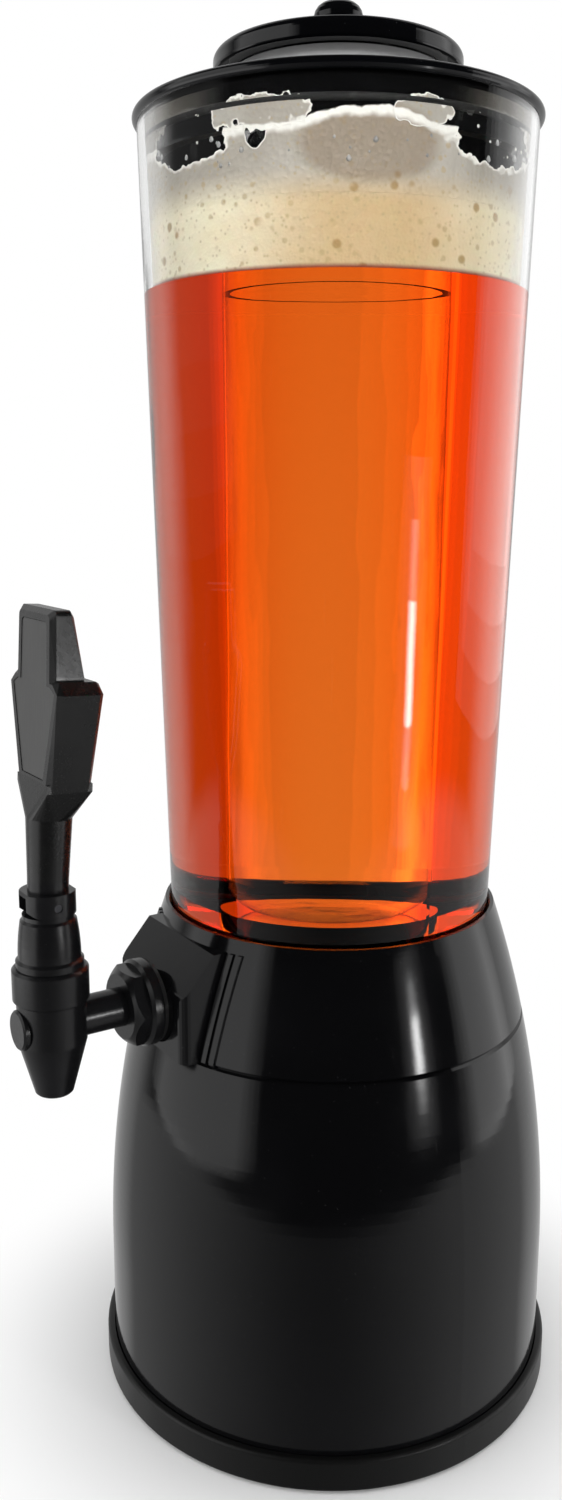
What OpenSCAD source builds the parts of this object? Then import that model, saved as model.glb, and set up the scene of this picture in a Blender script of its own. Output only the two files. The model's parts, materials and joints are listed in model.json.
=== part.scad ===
// Table-top beer tower with a gravity tap and a central ice tube.
// Origin: tower axis on the table. +Z is up, the tap points along -Y. Millimetres.

/* [Foot] */
// Radius of the foot dish on the table
foot_r = 80; // [79:0.5:95]
// How far the bell stands in from the foot's edge
foot_ledge = 2.7; // [2:0.1:4]
// Height of the foot dish's rim above the table
foot_h = 12; // [9:0.5:20]
// Radius of the rounded edges of the foot rim
foot_edge = 1.2; // [0.4:0.1:2]
// Thickness of the foot dish's floor
floor_t = 2.6; // [2:0.1:4]
// Radius of the rubber mat
mat_r = 72.5; // [60:0.5:74]
// Thickness of the rubber mat
mat_t = 2; // [1.4:0.1:4]
// How far the mat stands proud under the dish
mat_proud = 0.8; // [0.4:0.1:1.2]
// Depth of the grip grooves in the mat
grip_depth = 0.6; // [0.3:0.1:1]
// Spacing of the grip grooves
grip_pitch = 6; // [4:0.5:12]

/* [Bell] */
// Radius of the bell where it starts to curve inwards
body_r = 77.3; // [74:0.1:78]
// Height at which the bell starts to curve inwards
bend_z = 48; // [30:1:60]
// Radius of the long curve of the bell
bend_r = 380; // [350:5:600]
// Height of the seam between the lower and the upper shell
seam_z = 133.4; // [131:0.2:136]
// Height of the bell's open rim
rim_z = 172; // [168:0.5:178]
// Wall thickness of the black shells
shell_t = 2.6; // [2:0.1:3]
// Chamfer along both sides of the seam
seam_chamfer = 0.8; // [0.2:0.1:1.4]
// Height of the lip that centres the upper shell
lip_h = 2; // [1:0.1:3]

/* [Screws] */
// Number of screws in each ring of screws
screw_count = 4; // [3:1:6]
// Distance of the foot screws from the tower axis
foot_screw_ring = 66; // [62:0.5:67]
// Distance of the upper shell's screws from the tower axis
shell_screw_ring = 57.9; // [57.6:0.1:58]
// Radius of the screw shanks
screw_r = 1.9; // [1.5:0.1:2.2]
// Radius of the screw heads
screw_head_r = 3.6; // [3.2:0.1:4]
// Height of the screw heads
screw_head_h = 2.4; // [2:0.1:2.8]
// Length of the screw shanks
screw_len = 14; // [10:0.5:15]
// Radius of the screw posts
post_r = 5; // [4.6:0.1:5.4]

/* [Cup] */
// Height of the ledge that the tank stands on
ledge_z = 160; // [159:0.5:163]
// Radius of the cup's inside below the ledge
sump_r = 50.5; // [46:0.5:50.5]
// Height of the cup's inner floor
sump_z = 136.6; // [136.4:0.1:137.4]
// Thickness of the cup's floor
sump_floor_t = 2.4; // [1.8:0.1:2.6]
// Gap between the tank's spigot and its socket
socket_gap = 0.5; // [0.3:0.05:0.6]

/* [Tap boss] */
// Width of the tap boss on the upper shell
boss_w = 44; // [38:1:50]
// Distance of the boss's flat face from the tower axis
boss_y = 70; // [69:0.5:74]
// Height of the boss's front face above the seam
boss_front_h = 23; // [22:0.5:26]
// Height of the boss's top where it meets the bell, above the seam
boss_back_h = 34.4; // [30:0.2:36]
// Corner radius of the boss
boss_corner = 3; // [1:0.5:5]
// Width of each raised rib beside the boss
rib_w = 1.5; // [0.8:0.1:2]
// How far the ribs stand out of the bell
rib_proud = 0.9; // [0.4:0.1:1.4]

/* [Tank] */
// Outer radius of the tank at the bell's rim
tank_foot_r = 54.4; // [53:0.1:54.6]
// Outer radius of the tank at its top
tank_top_r = 61.4; // [60.5:0.1:62]
// Height of the tank's top edge
tank_top_z = 417; // [360:1:460]
// Wall thickness of the tank
tank_t = 2.6; // [2:0.1:3]
// Wall thickness of the tank's spigot
spigot_t = 3.7; // [3.4:0.1:3.8]
// Section radius of the tank's seal ring
tank_seal_r = 1.3; // [1:0.05:1.4]

/* [Lid] */
// Radius of the lid
lid_r = 62.8; // [62.6:0.1:66]
// Thickness of the lid
lid_t = 3.2; // [2.4:0.1:5]
// Height of the lid's plug inside the tank
plug_h = 12; // [10:0.5:18]
// Wall thickness of the lid's plug
plug_t = 4; // [3.4:0.1:5]
// Section radius of the lid's seal ring
lid_seal_r = 1.2; // [0.9:0.05:1.3]

/* [Ice tube] */
// Outer radius of the ice tube under the lid
tube_r = 27; // [22:0.5:28]
// Outer radius of the ice tube at its foot
tube_foot_r = 25.6; // [20:0.1:26]
// Height of the ice tube's closed foot
tube_foot_z = 172; // [168:1:240]
// Wall thickness of the ice tube
tube_t = 2; // [1.6:0.1:2.6]
// Outer radius of the ice tube's neck above the lid
neck_r = 33; // [31:0.5:34]
// Height of the top of the neck
neck_top_z = 432; // [428:0.5:440]
// Thickness of the flat seal under the neck
neck_seal_t = 1.2; // [0.8:0.1:2]

/* [Cap] */
// Radius of the cap's rim
cap_r = 38; // [36:0.5:42]
// Height of the cap's rim
cap_rim_h = 6; // [5:0.5:9]
// Rise of the cap's dome above its rim
dome_h = 6.4; // [4:0.2:10]
// Wall thickness of the cap
cap_t = 2.4; // [2:0.1:3]
// Height of the cap's plug inside the neck
cap_plug_h = 7; // [5:0.5:7.4]
// Radius of the cap's knob
knob_r = 7.5; // [6:0.5:10]
// Height of the knob above the dome
knob_h = 8.2; // [7:0.2:14]

/* [Tap] */
// Height of the shank's axis
shank_z = 148; // [147.6:0.1:148.4]
// Distance of the tap's upright axis from the tower axis
tap_y = 103.5; // [101:0.5:112]
// Radius of the shank
shank_r = 6.2; // [5.8:0.1:6.4]
// Radius of the waterway in the shank
way_r = 3.5; // [2.5:0.1:4]
// Height of the spout's mouth
spout_z = 125.4; // [112:0.2:130]
// Outer radius of the spout's mouth
spout_r = 6; // [5.2:0.1:7]
// Radius of the spout's bore
spout_bore_r = 4; // [3:0.1:4.4]
// Radius of the tap's upright body
tap_r = 10.7; // [10:0.1:11.2]
// Radius of the collar at the top of the body
collar_r = 11.75; // [11:0.05:13]
// Height of the underside of that collar
collar_z = 156; // [155:0.5:158]
// Height of the top of the body
tap_top_z = 167; // [165:0.5:170]
// Radius of the valve chamber
chamber_r = 7.65; // [7.2:0.05:8]
// Height of the valve seat
seat_z = 141.5; // [140.5:0.1:142]

/* [Valve] */
// Radius of the valve stem
stem_r = 2.5; // [2:0.1:2.8]
// Lift of the stem when the handle is right down
stem_lift = 3; // [2:0.1:3.4]
// Tilt of the handle when the tap is full open, in degrees
open_tilt = 40; // [30:1:45]
// Radius of the rubber valve cup
valve_r = 6.4; // [5.4:0.1:6.6]
// Height of the rubber valve cup
valve_h = 9.5; // [8:0.1:10]
// Radius of the bonnet where it meets the body
bonnet_r = 10.4; // [9.6:0.1:11]
// Radius of the bonnet's flat top
bonnet_top_r = 7.8; // [7.4:0.1:8.4]
// Height of the bonnet above the body
bonnet_h = 15.6; // [14:0.1:18]
// Radius of the spring's wire
wire_r = 0.45; // [0.3:0.05:0.55]
// Number of turns of the spring
spring_turns = 8; // [5:1:11]

/* [Handle] */
// Height of the pivot pin above the bonnet's washer
pivot_h = 3.4; // [3.2:0.1:4]
// Radius of the pivot pin
pin_r = 1.25; // [1:0.05:1.4]
// Radius of the handle's round heel
heel_r = 8.5; // [8:0.1:10]
// Lean of the handle towards the tank, in degrees
handle_lean = 3; // [0:0.5:6]
// Length of the handle from the pivot to its crown
handle_len = 88.7; // [84:0.5:120]
// Radius of the handle's neck at the bottom
grip_foot_r = 6.25; // [5.6:0.05:7]
// Radius of the handle's neck at the top
grip_top_r = 7; // [6.4:0.1:8]
// Length from the pivot to the top of the round neck
grip_len = 26.7; // [22:0.5:30]
// Thickness of the paddle
paddle_t = 14.2; // [12:0.2:17]
// Width of the paddle at its bottom
paddle_foot_w = 23; // [18:0.5:26]
// Width of the paddle at its shoulders
paddle_w = 38; // [34:0.5:46]
// Width of the crown above the shoulders
crown_w = 27; // [22:0.5:30]
// Height of the crown
crown_h = 20; // [14:0.5:26]
// Thickness of the crown at its top
crown_t = 7.5; // [6:0.5:11]
// Chamfer along the paddle's edges
paddle_edge = 1.5; // [0.6:0.1:2.2]
// Width of the raised border round the bare panel
border_w = 2; // [1.2:0.1:3]
// Depth of the recess that holds the panel
panel_depth = 1.2; // [0.8:0.1:2]

/* [Nuts and gaskets] */
// Thickness of the gasket outside the boss
outer_gasket_t = 1.5; // [1:0.1:2.5]
// Thickness of the gasket inside the cup
inner_gasket_t = 2; // [1:0.1:2.5]
// Radius of the nut's flange on the boss
nut_flange_r = 14; // [12:0.5:15]
// Thickness of that flange
nut_flange_t = 4; // [2.5:0.1:5]
// Width across the flats of the nut's hexagon
nut_flats = 23; // [20:0.5:26]
// Length of the nut's hexagon
nut_hex_t = 5; // [3:0.5:6]
// Width across the flats of the lock nut in the cup
lock_flats = 18; // [16:0.5:18.5]
// Thickness of the lock nut
lock_t = 5; // [3:0.5:6]

/* [Hidden] */
$fn = 96;
e = 0.01;
// Running clearance of a round piece in its bore
run = 0.05;
// Gap between pieces that lift apart
loose = 0.3;
// Steps of a long curve and of a small one
long_steps = 24;
edge_steps = 5;

// Foot
skirt_r = foot_r - foot_ledge;
plate_z = mat_proud;
floor_z = mat_t;
floor_top = floor_z + floor_t;
foot_post_h = 3.4;
foot_post_z = floor_top + foot_post_h;
mat_hub_r = 18;
foot_rib_t = 2;
foot_rib_drop = 0.6;
foot_ribs = 6;
foot_boss_r = post_r + 1;

// Upper shell and cup
web_t = 2.6;
flange_t = 2.6;
cup_r = sump_r + shell_t;
cup_under_z = sump_z - sump_floor_t;
socket_r = tank_foot_r + socket_gap;
hollow_top = ledge_z - web_t;
flange_in_r = cup_r + loose;
weld_r = bell_r(hollow_top) - shell_t - loose;
lip_out_r = bell_r(seam_z + lip_h) - shell_t - loose;
lip_t = 1.5;
shell_post_h = 13;
shell_post_r = 4.4;
// Flat in the cup's wall where the inner gasket sits
pad_w = 24;
pad_y = sqrt(sump_r * sump_r - pad_w * pad_w / 4) - 0.05;
sleeve_r = 9.2;
bore_r = shank_r + run;
rib_gap = 1.3;
boss_sink = 2;

// Tank and lid
tank_seal_z = (ledge_z + rim_z) / 2;
seal_slack = 0.05;
groove_half = tank_seal_r + 0.15;
spigot_blend = 6;
lid_top = tank_top_z + lid_t;
lid_edge = lid_t / 2;
plug_r = tank_in_r(tank_top_z - plug_h) - loose;
lid_seal_z = tank_top_z - plug_h / 2;
lid_bore_r = tube_r + 2 * loose;
lid_collar_r = lid_bore_r + 3;
lid_plug_edge = 0.6;

// Ice tube and cap
neck_z = lid_top + neck_seal_t;
neck_t = 2.6;
tube_round = 9;
cap_z = neck_top_z;
cap_top_z = cap_z + cap_rim_h;
cap_edge = 2.6;
dome_top = cap_top_z + dome_h;
dome_r = cap_r - cap_edge;
cap_plug_r = neck_r - neck_t - loose;
knob_foot_r = knob_r - 2;
knob_sink = 1.6;
knob_flare = 1;
knob_round = 4;
cap_lip = 1;

// Tap
spout_cone_h = 17.6;
collar_edge = 0.8;
plug_face_y = tap_y + tap_r + 0.8;
plug_head_t = 1.9;
plug_head_r = 6.3;
plug_seat_y = plug_face_y - plug_head_t;
pad_gasket_y = pad_y - inner_gasket_t;
thread_proud = 1.8;
shank_end_y = pad_gasket_y - lock_t - thread_proud;
nut_y = boss_y + outer_gasket_t;
nut_end_y = nut_y + nut_flange_t + nut_hex_t;

// Valve, from the seat upwards
valve_top = seat_z + valve_h;
valve_root_t = 3.5;
valve_lip_h = 2.2;
stem_socket_h = valve_h - valve_root_t;
spring_collar_t = 1.4;
spring_foot = valve_top + spring_collar_t;
spring_collar_r = 5;
bonnet_z = tap_top_z;
bonnet_top = bonnet_z + bonnet_h;
bonnet_roof = 4.6;
spring_head = bonnet_top - bonnet_roof;
bonnet_cave_r = 5.6;
bonnet_plug_h = 6.5;
bonnet_band_h = 3;
spring_r = stem_r + 1.5;
gland_r = 4.3;
gland_h = 2.2;
gland_z = spring_head + 1.1;
stem_seal_r = 0.85;
washer_t = 1.3;
washer_z = bonnet_top + washer_t;
washer_r = bonnet_top_r + 0.1;
pivot_z = washer_z + pivot_h;
// Eye at the top of the stem, and the slot in the heel for it
eye_r = pin_r + 1.5;
eye_w = 4.4;
slot_w = 2 * stem_r + 2 * loose;
slot_top = eye_r + loose;

// Heel cam: its flat foot and its involute face stay the same small gap
// above the washer while the stem rises in step with the tilt.
cam_gap = 0.2;
cam_h = pivot_h - cam_gap;
cam_rate = stem_lift / (open_tilt * PI / 180);
heel_top = slot_top + 0.8;
heel_edge = 1;
hub_h = 3.4;
stud_r = 3.6;
stud_len = 13;
stud_end_gap = 0.5;

// Handle, measured along its own leaning axis from the pivot
grip_z = heel_top + hub_h;
paddle_front = 5.5;
paddle_z = grip_len + 9;
shoulder_z = handle_len - crown_h;
shoulder_drop = 3.4;
corner_r = 1.6;
crown_draft = 0.6;
crown_sink = 2;
panel_t = panel_depth - 0.2;
slab = 0.4;

// Radius of the bell's outside at height z: upright in the dish, straight up
// to the bend, then one long arc
function bell_r(z) = z <= foot_h ? skirt_r
    : z <= bend_z ? skirt_r + (body_r - skirt_r) * (z - foot_h) / (bend_z - foot_h)
    : body_r - (bend_r - sqrt(bend_r * bend_r - (z - bend_z) * (z - bend_z)));
function bell_line(z0, z1, inset, steps) =
    [for (i = [0:steps]) let (z = z0 + (z1 - z0) * i / steps) [bell_r(z) - inset, z]];
// Radius of the tank's outside and inside at height z
function tank_out_r(z) = tank_foot_r
    + (tank_top_r - tank_foot_r) * (z - rim_z) / (tank_top_z - rim_z);
function tank_in_r(z) = tank_out_r(z) - tank_t;
function arc(x, y, r, from, to, steps) =
    [for (i = [0:steps]) let (a = from + (to - from) * i / steps) [x + r * cos(a), y + r * sin(a)]];
function reversed(list) = [for (i = [len(list) - 1:-1:0]) list[i]];
// Point of the heel's involute face for a tilt of the handle, in the plane (y, z)
function cam_point(tilt) = let (h = cam_h + cam_rate * tilt * PI / 180)
    [-h * sin(tilt) - cam_rate * cos(tilt), -h * cos(tilt) + cam_rate * sin(tilt)];

module ring_of(count, r) {
    for (i = [0:count - 1]) rotate([0, 0, 45 + i * 360 / count]) translate([r, 0, 0]) children();
}

// Cylinder that lies along Y between two distances from the tower axis
module across(from, to, r) {
    translate([0, -from, shank_z]) rotate([90, 0, 0]) cylinder(r = r, h = to - from);
}

module screw(z) {
    translate([0, 0, z]) cylinder(r = screw_head_r, h = screw_head_h);
    translate([0, 0, z + screw_head_h]) cylinder(r = screw_r, h = screw_len);
}

// ---- Foot ----

module base_mat() {
    color("#1b1b1c") difference() {
        cylinder(r = mat_r, h = mat_t);
        for (r = [mat_hub_r:grip_pitch:mat_r - grip_pitch]) difference() {
            translate([0, 0, -e]) cylinder(r = r + grip_pitch / 3, h = grip_depth + e);
            translate([0, 0, -2 * e]) cylinder(r = r, h = grip_depth + 3 * e);
        }
    }
}

module base_plate() {
    seat_r = skirt_r + loose;
    // Ribs and bosses start inside the floor
    rib_z = floor_z + floor_t / 2;
    rib_h = foot_post_z - rib_z;
    color("#131313") difference() {
        union() {
            rotate_extrude() polygon(concat(
                [[0, floor_z], [mat_r + loose, floor_z], [mat_r + loose, plate_z]],
                arc(foot_r - foot_edge, plate_z + foot_edge, foot_edge, -90, 0, edge_steps),
                arc(foot_r - foot_edge, foot_h - foot_edge, foot_edge, 0, 90, edge_steps),
                [[seat_r, foot_h], [seat_r, floor_top], [0, floor_top]]));
            ring_of(screw_count, foot_screw_ring)
                translate([0, 0, rib_z]) cylinder(r = foot_boss_r, h = rib_h);
            for (i = [0:foot_ribs - 1]) rotate([0, 0, i * 360 / foot_ribs])
                translate([mat_hub_r - foot_rib_t / 2, -foot_rib_t / 2, rib_z])
                    cube([foot_screw_ring - mat_hub_r, foot_rib_t, rib_h - foot_rib_drop]);
            difference() {
                translate([0, 0, rib_z]) cylinder(r = mat_hub_r, h = rib_h);
                translate([0, 0, floor_top]) cylinder(r = mat_hub_r - foot_rib_t, h = rib_h);
            }
        }
        ring_of(screw_count, foot_screw_ring) {
            translate([0, 0, floor_z - 1]) cylinder(r = screw_head_r + loose, h = screw_head_h + 1);
            cylinder(r = screw_r + loose, h = foot_post_z + 1);
        }
    }
}

module base_screws() {
    color("#b9bcc0") ring_of(screw_count, foot_screw_ring) screw(floor_z);
}

// ---- Bell: lower shell, upper shell with the cup and the tap boss ----

// Screw posts of the lower shell, each with a rib out to the wall
module skirt_posts() {
    intersection() {
        rotate_extrude() polygon([[0, foot_post_z], [skirt_r - shell_t / 2, foot_post_z],
            [skirt_r - shell_t / 2, foot_h], [body_r - shell_t / 2, bend_z], [0, bend_z]]);
        ring_of(screw_count, foot_screw_ring) {
            translate([0, 0, foot_post_z]) cylinder(r = post_r, h = bend_z - foot_post_z);
            translate([0, -shell_t / 2, foot_post_z])
                cube([body_r - foot_screw_ring, shell_t, bend_z - foot_post_z]);
        }
    }
}

module skirt() {
    flange_z = seam_z - flange_t;
    color("#111112") difference() {
        union() {
            rotate_extrude() polygon(concat(
                [[skirt_r - shell_t, floor_top], [skirt_r, floor_top], [skirt_r, foot_h]],
                bell_line(bend_z, seam_z - seam_chamfer, 0, long_steps),
                [[bell_r(seam_z) - seam_chamfer, seam_z],
                    [lip_out_r, seam_z], [lip_out_r, seam_z + lip_h],
                    [lip_out_r - lip_t, seam_z + lip_h], [lip_out_r - lip_t, seam_z],
                    [flange_in_r, seam_z], [flange_in_r, flange_z]],
                reversed(bell_line(bend_z, flange_z, shell_t, long_steps)),
                [[skirt_r - shell_t, foot_h]]));
            skirt_posts();
        }
        ring_of(screw_count, foot_screw_ring)
            translate([0, 0, foot_post_z - e]) cylinder(r = screw_r + run, h = screw_len);
        ring_of(screw_count, shell_screw_ring)
            translate([0, 0, flange_z - e]) cylinder(r = screw_r + loose, h = flange_t + 2 * e);
    }
}

module reservoir_screws() {
    color("#b9bcc0") ring_of(screw_count, shell_screw_ring)
        screw(seam_z - flange_t - screw_head_h);
}

// Block of the tap boss, or the smaller block that hollows it out
module boss_form(inset) {
    half = boss_w / 2 - inset;
    front = boss_y - inset;
    back = cup_r - boss_sink;
    corner = max(boss_corner - inset, 0.5);
    low = seam_z - (inset > 0 ? 1 : 0);
    intersection() {
        translate([0, 0, low]) linear_extrude(boss_back_h + boss_sink) polygon(concat(
            [[half, -back], [-half, -back]],
            arc(corner - half, corner - front, corner, 180, 270, edge_steps),
            arc(half - corner, corner - front, corner, 270, 360, edge_steps)));
        translate([half, 0, 0]) rotate([90, 0, -90]) linear_extrude(2 * half) polygon(concat(
            [[back, low], [front, low]],
            arc(front - boss_corner, seam_z + boss_front_h - inset - boss_corner, boss_corner,
                0, 50, edge_steps),
            [[bell_r(rim_z) + boss_sink, seam_z + boss_back_h - inset],
                [back, seam_z + boss_back_h - inset]]));
    }
}

module bell_block(proud) {
    rotate_extrude() polygon(concat([[0, seam_z], [bell_r(seam_z) - seam_chamfer + proud, seam_z]],
        bell_line(seam_z + seam_chamfer, rim_z, -proud, long_steps), [[0, rim_z]]));
}

module boss_ribs() {
    intersection() {
        bell_block(rib_proud);
        for (side = [-1, 1], i = [0, 1])
            translate([side * (boss_w / 2 + rib_gap + i * (rib_w + rib_gap)) - (side < 0 ? rib_w : 0),
                -boss_y, seam_z])
                cube([rib_w, boss_y - cup_r / 2, boss_back_h]);
    }
}

// Space inside the shell's wall, under the collar that holds the tank
module bell_hollow() {
    low = seam_z - 1;
    rotate_extrude() polygon(concat([[0, low]],
        bell_line(low, hollow_top, shell_t, long_steps), [[0, hollow_top]]));
    difference() {
        boss_form(shell_t);
        translate([0, 0, hollow_top]) cylinder(r = bell_r(hollow_top), h = rim_z);
    }
}

// Screw posts of the upper shell, each with a rib out to the wall
module shell_posts() {
    rib_z = seam_z + lip_h + loose;
    intersection() {
        bell_block(-shell_t / 2);
        ring_of(screw_count, shell_screw_ring) {
            translate([0, 0, seam_z]) cylinder(r = shell_post_r, h = shell_post_h);
            translate([0, -shell_t / 2, rib_z])
                cube([bell_r(seam_z) - shell_screw_ring, shell_t, seam_z + shell_post_h - rib_z]);
        }
    }
}

module upper_shell() {
    lead = 0.5;
    color("#111112") difference() {
        union() {
            difference() {
                union() {
                    bell_block(0);
                    boss_form(0);
                    boss_ribs();
                }
                bell_hollow();
            }
            shell_posts();
        }
        cylinder(r = socket_r, h = rim_z + 1);
        translate([0, 0, rim_z - lead]) cylinder(r1 = socket_r, r2 = socket_r + lead, h = lead + e);
        across(cup_r, boss_y + 1, bore_r);
        ring_of(screw_count, shell_screw_ring)
            translate([0, 0, seam_z - e]) cylinder(r = screw_r + run, h = screw_len - flange_t + 1);
    }
}

// Cup that holds the last of the drink, with the ledge that the tank stands on
module reservoir() {
    color("#141415") difference() {
        union() {
            translate([0, 0, cup_under_z]) cylinder(r = cup_r, h = hollow_top - cup_under_z);
            translate([0, 0, hollow_top - flange_t]) cylinder(r = weld_r, h = flange_t);
            translate([0, 0, hollow_top]) cylinder(r = socket_r - run, h = ledge_z - hollow_top);
            intersection() {
                across(sump_r, boss_y - shell_t, sleeve_r);
                boss_form(shell_t + run);
            }
        }
        difference() {
            translate([0, 0, sump_z]) cylinder(r = sump_r, h = rim_z);
            translate([-pad_w / 2, -sump_r - 1, 0]) cube([pad_w, sump_r + 1 - pad_y, ledge_z]);
        }
        across(pad_y - 1, boss_y + 1, bore_r);
    }
}

// ---- Tank and lid ----

module tank() {
    groove_r = socket_r - seal_slack - 2 * tank_seal_r - seal_slack;
    spigot_in_r = tank_foot_r - spigot_t;
    color([0.86, 0.88, 0.86, 0.4]) rotate_extrude() polygon([
        [spigot_in_r, ledge_z], [tank_foot_r, ledge_z],
        [tank_foot_r, tank_seal_z - groove_half], [groove_r, tank_seal_z - groove_half],
        [groove_r, tank_seal_z + groove_half], [tank_foot_r, tank_seal_z + groove_half],
        [tank_foot_r, rim_z], [tank_top_r, tank_top_z], [tank_top_r - tank_t, tank_top_z],
        [tank_in_r(rim_z + spigot_blend), rim_z + spigot_blend], [spigot_in_r, rim_z]]);
}

module seal_ring(z, r, section) {
    translate([0, 0, z]) rotate_extrude() translate([r, 0]) circle(r = section, $fn = 32);
}

module tank_seal() {
    color("#c9c5bb") seal_ring(tank_seal_z, socket_r - seal_slack - tank_seal_r, tank_seal_r);
}

module lid() {
    seal_out_r = tank_in_r(lid_seal_z) - seal_slack;
    groove_r = seal_out_r - 2 * lid_seal_r - seal_slack;
    low = tank_top_z - plug_h;
    half = lid_seal_r + seal_slack;
    color("#121214") rotate_extrude() polygon(concat(
        [[plug_r - plug_t, low], [plug_r - lid_plug_edge, low], [plug_r, low + lid_plug_edge],
            [plug_r, lid_seal_z - half], [groove_r, lid_seal_z - half],
            [groove_r, lid_seal_z + half], [plug_r, lid_seal_z + half], [plug_r, tank_top_z]],
        arc(lid_r - lid_edge, tank_top_z + lid_edge, lid_edge, -90, 90, 2 * edge_steps),
        [[lid_bore_r, lid_top], [lid_bore_r, tank_top_z - lid_t], [lid_collar_r, tank_top_z - lid_t],
            [lid_collar_r + lid_t, tank_top_z], [plug_r - plug_t, tank_top_z]]));
}

module lid_seal() {
    color("#c9c5bb")
        seal_ring(lid_seal_z, tank_in_r(lid_seal_z) - seal_slack - lid_seal_r, lid_seal_r);
}

// ---- Ice tube and cap ----

module ice_tube() {
    tube_in = tube_r - tube_t;
    foot_in = tube_foot_r - tube_t;
    round_in = tube_round - tube_t;
    color([0.9, 0.92, 0.92, 0.4]) rotate_extrude() polygon(concat(
        [[0, tube_foot_z]],
        arc(tube_foot_r - tube_round, tube_foot_z + tube_round, tube_round, -90, 0, 2 * edge_steps),
        [[tube_r, neck_z], [neck_r, neck_z], [neck_r, neck_top_z], [neck_r - neck_t, neck_top_z],
            [neck_r - neck_t, neck_z + neck_t], [tube_in, neck_z + neck_t / 2]],
        arc(foot_in - round_in, tube_foot_z + tube_round, round_in, 0, -90, 2 * edge_steps),
        [[0, tube_foot_z + tube_t]]));
}

module ice_tube_seal() {
    color("#c9c5bb") difference() {
        translate([0, 0, lid_top]) cylinder(r = neck_r - cap_lip, h = neck_seal_t);
        translate([0, 0, lid_top - 1]) cylinder(r = lid_bore_r + loose, h = neck_seal_t + 2);
    }
}

module ice_cap() {
    // Dome as an arc through the rim's top edge and the dome's crown
    ball_r = (dome_r * dome_r + dome_h * dome_h) / (2 * dome_h);
    sweep = asin(dome_r / ball_r);
    ball_z = dome_top - ball_r;
    inner_r = ball_r - cap_t;
    foot = asin((cap_plug_r - cap_t) / inner_r);
    knob_z = dome_top + knob_h - knob_r;
    color("#0f0f10") union() {
        rotate_extrude() polygon(concat(
            arc(0, ball_z, inner_r, 90, 90 - foot, long_steps),
            [[cap_plug_r - cap_t, cap_z - cap_plug_h], [cap_plug_r, cap_z - cap_plug_h],
                [cap_plug_r, cap_z]],
            arc(cap_r - cap_lip, cap_z + cap_lip, cap_lip, -90, 0, edge_steps),
            arc(cap_r - cap_edge, cap_top_z - cap_edge, cap_edge, 0, 60, edge_steps),
            arc(0, ball_z, ball_r, 90 - sweep, 90, long_steps)));
        rotate_extrude() polygon(concat(
            [[0, dome_top - knob_sink], [knob_foot_r + knob_flare, dome_top - knob_sink],
                [knob_foot_r, dome_top + knob_flare / 2], [knob_r - knob_flare, knob_z]],
            arc(knob_r - knob_round, knob_z + knob_round - knob_flare / 2, knob_round, -30, 60,
                edge_steps),
            [[0, dome_top + knob_h]]));
    }
}

// ---- Tap ----

module upright() {
    translate([0, -tap_y, 0]) children();
}

module tap_body() {
    lip = 0.5;
    color("#161617") difference() {
        union() {
            upright() rotate_extrude() polygon([
                [0, spout_z], [spout_r - lip, spout_z], [spout_r, spout_z + lip],
                [tap_r, spout_z + spout_cone_h], [tap_r, collar_z],
                [collar_r, collar_z + collar_edge], [collar_r, tap_top_z - collar_edge],
                [collar_r - collar_edge, tap_top_z], [0, tap_top_z]]);
            across(shank_end_y, tap_y, shank_r);
        }
        upright() {
            translate([0, 0, spout_z - 1]) cylinder(r = spout_bore_r, h = seat_z - spout_z + 2);
            translate([0, 0, seat_z]) cylinder(r = chamber_r, h = tap_top_z);
        }
        across(shank_end_y - 1, plug_seat_y + 1, way_r);
        across(plug_seat_y, plug_face_y + 1, plug_head_r + run);
    }
}

module end_plug() {
    edge = 0.6;
    color("#1d1d1e") union() {
        translate([0, -plug_seat_y, shank_z]) rotate([90, 0, 0]) rotate_extrude() polygon([
            [0, 0], [plug_head_r, 0], [plug_head_r, plug_head_t - edge],
            [plug_head_r - edge, plug_head_t], [0, plug_head_t]]);
        across(tap_y + chamber_r + loose, plug_seat_y + e, way_r - run);
    }
}

module gasket(from, thickness, r, inner_r) {
    difference() {
        across(from, from + thickness, r);
        across(from - 1, from + thickness + 1, inner_r);
    }
}

module outer_gasket() {
    color("#202021") gasket(boss_y, outer_gasket_t, nut_flange_r - 0.6, bore_r);
}

module inner_gasket() {
    color("#202021") gasket(pad_gasket_y, inner_gasket_t, pad_w / 2 - 1, bore_r);
}

module shank_nut() {
    chamfer = 1;
    color("#151516") difference() {
        union() {
            translate([0, -nut_y, shank_z]) rotate([90, 0, 0]) rotate_extrude() polygon([
                [0, 0], [nut_flange_r, 0], [nut_flange_r, nut_flange_t - chamfer],
                [nut_flange_r - chamfer, nut_flange_t], [0, nut_flange_t]]);
            intersection() {
                translate([0, -nut_y, shank_z]) rotate([90, 0, 0])
                    cylinder(r = nut_flats / sqrt(3), h = nut_flange_t + nut_hex_t, $fn = 6);
                translate([0, -nut_y, shank_z]) rotate([90, 0, 0]) rotate_extrude() polygon([
                    [0, 0], [nut_flange_r, 0], [nut_flange_r, nut_flange_t + nut_hex_t - 3 * chamfer],
                    [nut_flats / 2 - chamfer, nut_flange_t + nut_hex_t],
                    [0, nut_flange_t + nut_hex_t]]);
            }
        }
        across(nut_y - 1, nut_end_y + 1, bore_r);
    }
}

module lock_nut() {
    color("#d5d2c8") difference() {
        translate([0, -(pad_gasket_y - lock_t), shank_z]) rotate([90, 0, 0]) rotate([0, 0, 30])
            cylinder(r = lock_flats / sqrt(3), h = lock_t, $fn = 6);
        across(pad_gasket_y - lock_t - 1, pad_gasket_y + 1, bore_r);
    }
}

// ---- Valve ----

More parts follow.
